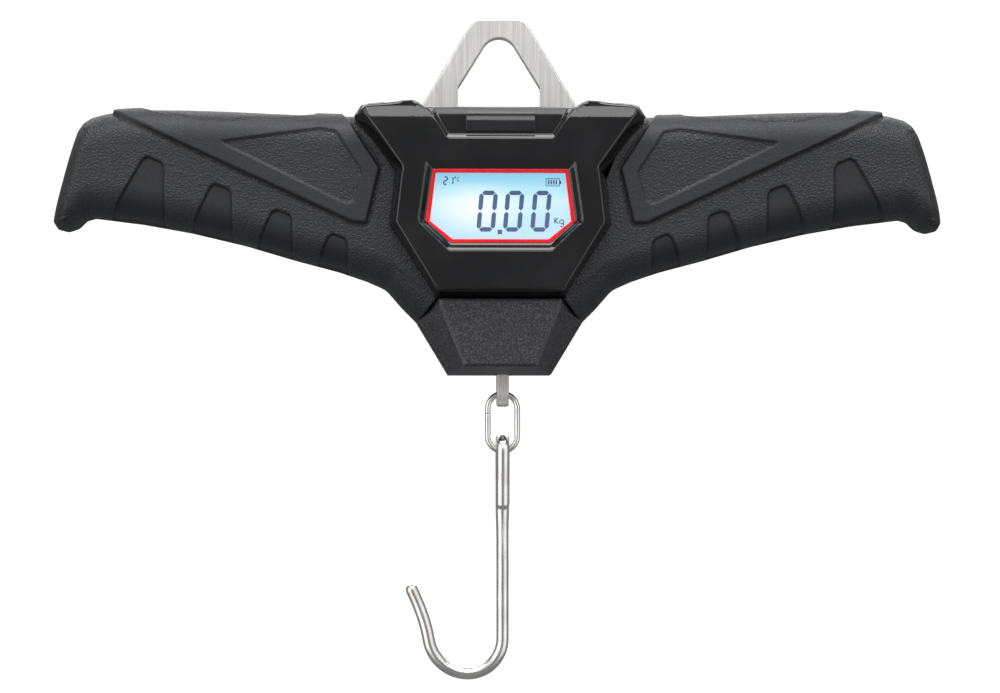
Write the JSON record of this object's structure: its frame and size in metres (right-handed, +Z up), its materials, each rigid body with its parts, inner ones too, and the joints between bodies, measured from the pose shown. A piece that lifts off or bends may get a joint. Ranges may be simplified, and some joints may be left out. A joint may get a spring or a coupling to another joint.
{
  "type": "digital fish scale",
  "caption": "Two-handed digital fish scale with a backlit display, steel hanger plate, textured grips and a hook on a link.",
  "frame": {"origin": "top of the hanger plate's opening, in the plate's mid plane: the point it hangs from", "axes": "+Z up through the hanger, +X along the grips to the reader's right, display facing -Y"},
  "size_m": [0.3198, 0.0457, 0.2378],
  "materials": {
    "housing_plastic": "fine satin",
    "nose_plastic": "fine speckled",
    "grip_rubber": "leather grain",
    "bezel_gloss": "high gloss",
    "plate_gloss": "gloss",
    "red_trim": "gloss",
    "window_clear": "clear",
    "lcd_glass": "satin",
    "backlight": "diffuse",
    "inner_plastic": "moulded",
    "seal_rubber": "matt",
    "board_green": "solder mask",
    "chip_black": "matt",
    "button_rubber": "matt",
    "brushed_steel": "vertical brush",
    "cell_aluminium": "machined",
    "gauge_film": "film",
    "zinc_steel": "zinc plated",
    "tab_steel": "blasted",
    "ring_steel": "polished wire",
    "hook_steel": "polished",
    "cell_jacket": "shrink wrap",
    "nickel": "nickel plated",
    "cable_grey": "jacket",
    "cable_red": "jacket"
  },
  "bodies": {
    "body": {"front_shell": "housing_plastic", "rear_shell": "housing_plastic", "nose_cover": "nose_plastic", "left_grip_front": "grip_rubber", "right_grip_front": "grip_rubber", "left_grip_rear": "grip_rubber", "right_grip_rear": "grip_rubber", "display_bezel": "bezel_gloss", "name_plate": "plate_gloss", "window_trim": "red_trim", "display_window": "window_clear", "lcd_glass": "lcd_glass", "lcd_backlight": "backlight", "lcd_holder": "inner_plastic", "zebra_connectors": "seal_rubber", "main_board": "board_green", "board_chips": "chip_black", "button_board": "board_green", "tact_switches": "inner_plastic", "hanger_plate": "brushed_steel", "load_cell": "cell_aluminium", "strain_gauges": "gauge_film", "hanger_bolts": "zinc_steel", "tab_pin": "zinc_steel", "load_tab": "tab_steel", "hanger_seal": "seal_rubber", "tab_gland": "seal_rubber", "battery_box": "inner_plastic", "batteries": "cell_jacket", "battery_contacts": "nickel", "shell_screws": "zinc_steel", "board_screws": "zinc_steel", "cell_cable": "cable_grey", "battery_leads": "cable_red", "button_cable": "cable_grey"},
    "ring": {"link_ring": "ring_steel"},
    "hook": {"hook": "hook_steel"},
    "power_button": {"power_button": "button_rubber"},
    "unit_button": {"unit_button": "button_rubber"},
    "tare_button": {"tare_button": "button_rubber"},
    "door": {"battery_door": "housing_plastic", "door_gasket": "seal_rubber"},
    "door_screw": {"door_screw": "zinc_steel"}
  },
  "joints": [
    {"name": "ring_swing", "type": "hinge", "parent": "body", "child": "ring", "pos_m": [0.0013, 0, -0.12805], "axis": [1, 0, 0], "range_deg": [-75, 75]},
    {"name": "hook_sway", "type": "hinge", "parent": "ring", "child": "hook", "pos_m": [0.0013, 0, -0.14325], "axis": [0, 1, 0], "range_deg": [-50, 50]},
    {"name": "power_press", "type": "slide", "parent": "body", "child": "power_button", "axis": [0, -1, 0], "range_m": [0, 0.001], "stiffness_N_per_m": 600},
    {"name": "unit_press", "type": "slide", "parent": "body", "child": "unit_button", "axis": [0, -1, 0], "range_m": [0, 0.001], "stiffness_N_per_m": 600},
    {"name": "tare_press", "type": "slide", "parent": "body", "child": "tare_button", "axis": [0, -1, 0], "range_m": [0, 0.001], "stiffness_N_per_m": 600},
    {"name": "door_lift", "type": "slide", "parent": "body", "child": "door", "axis": [0, 1, 0], "range_m": [0, 0.045]},
    {"name": "door_screw_turn", "type": "hinge", "parent": "door", "child": "door_screw", "pos_m": [0, 0.0217, -0.0897], "axis": [0, 1, 0], "continuous": true}
  ]
}
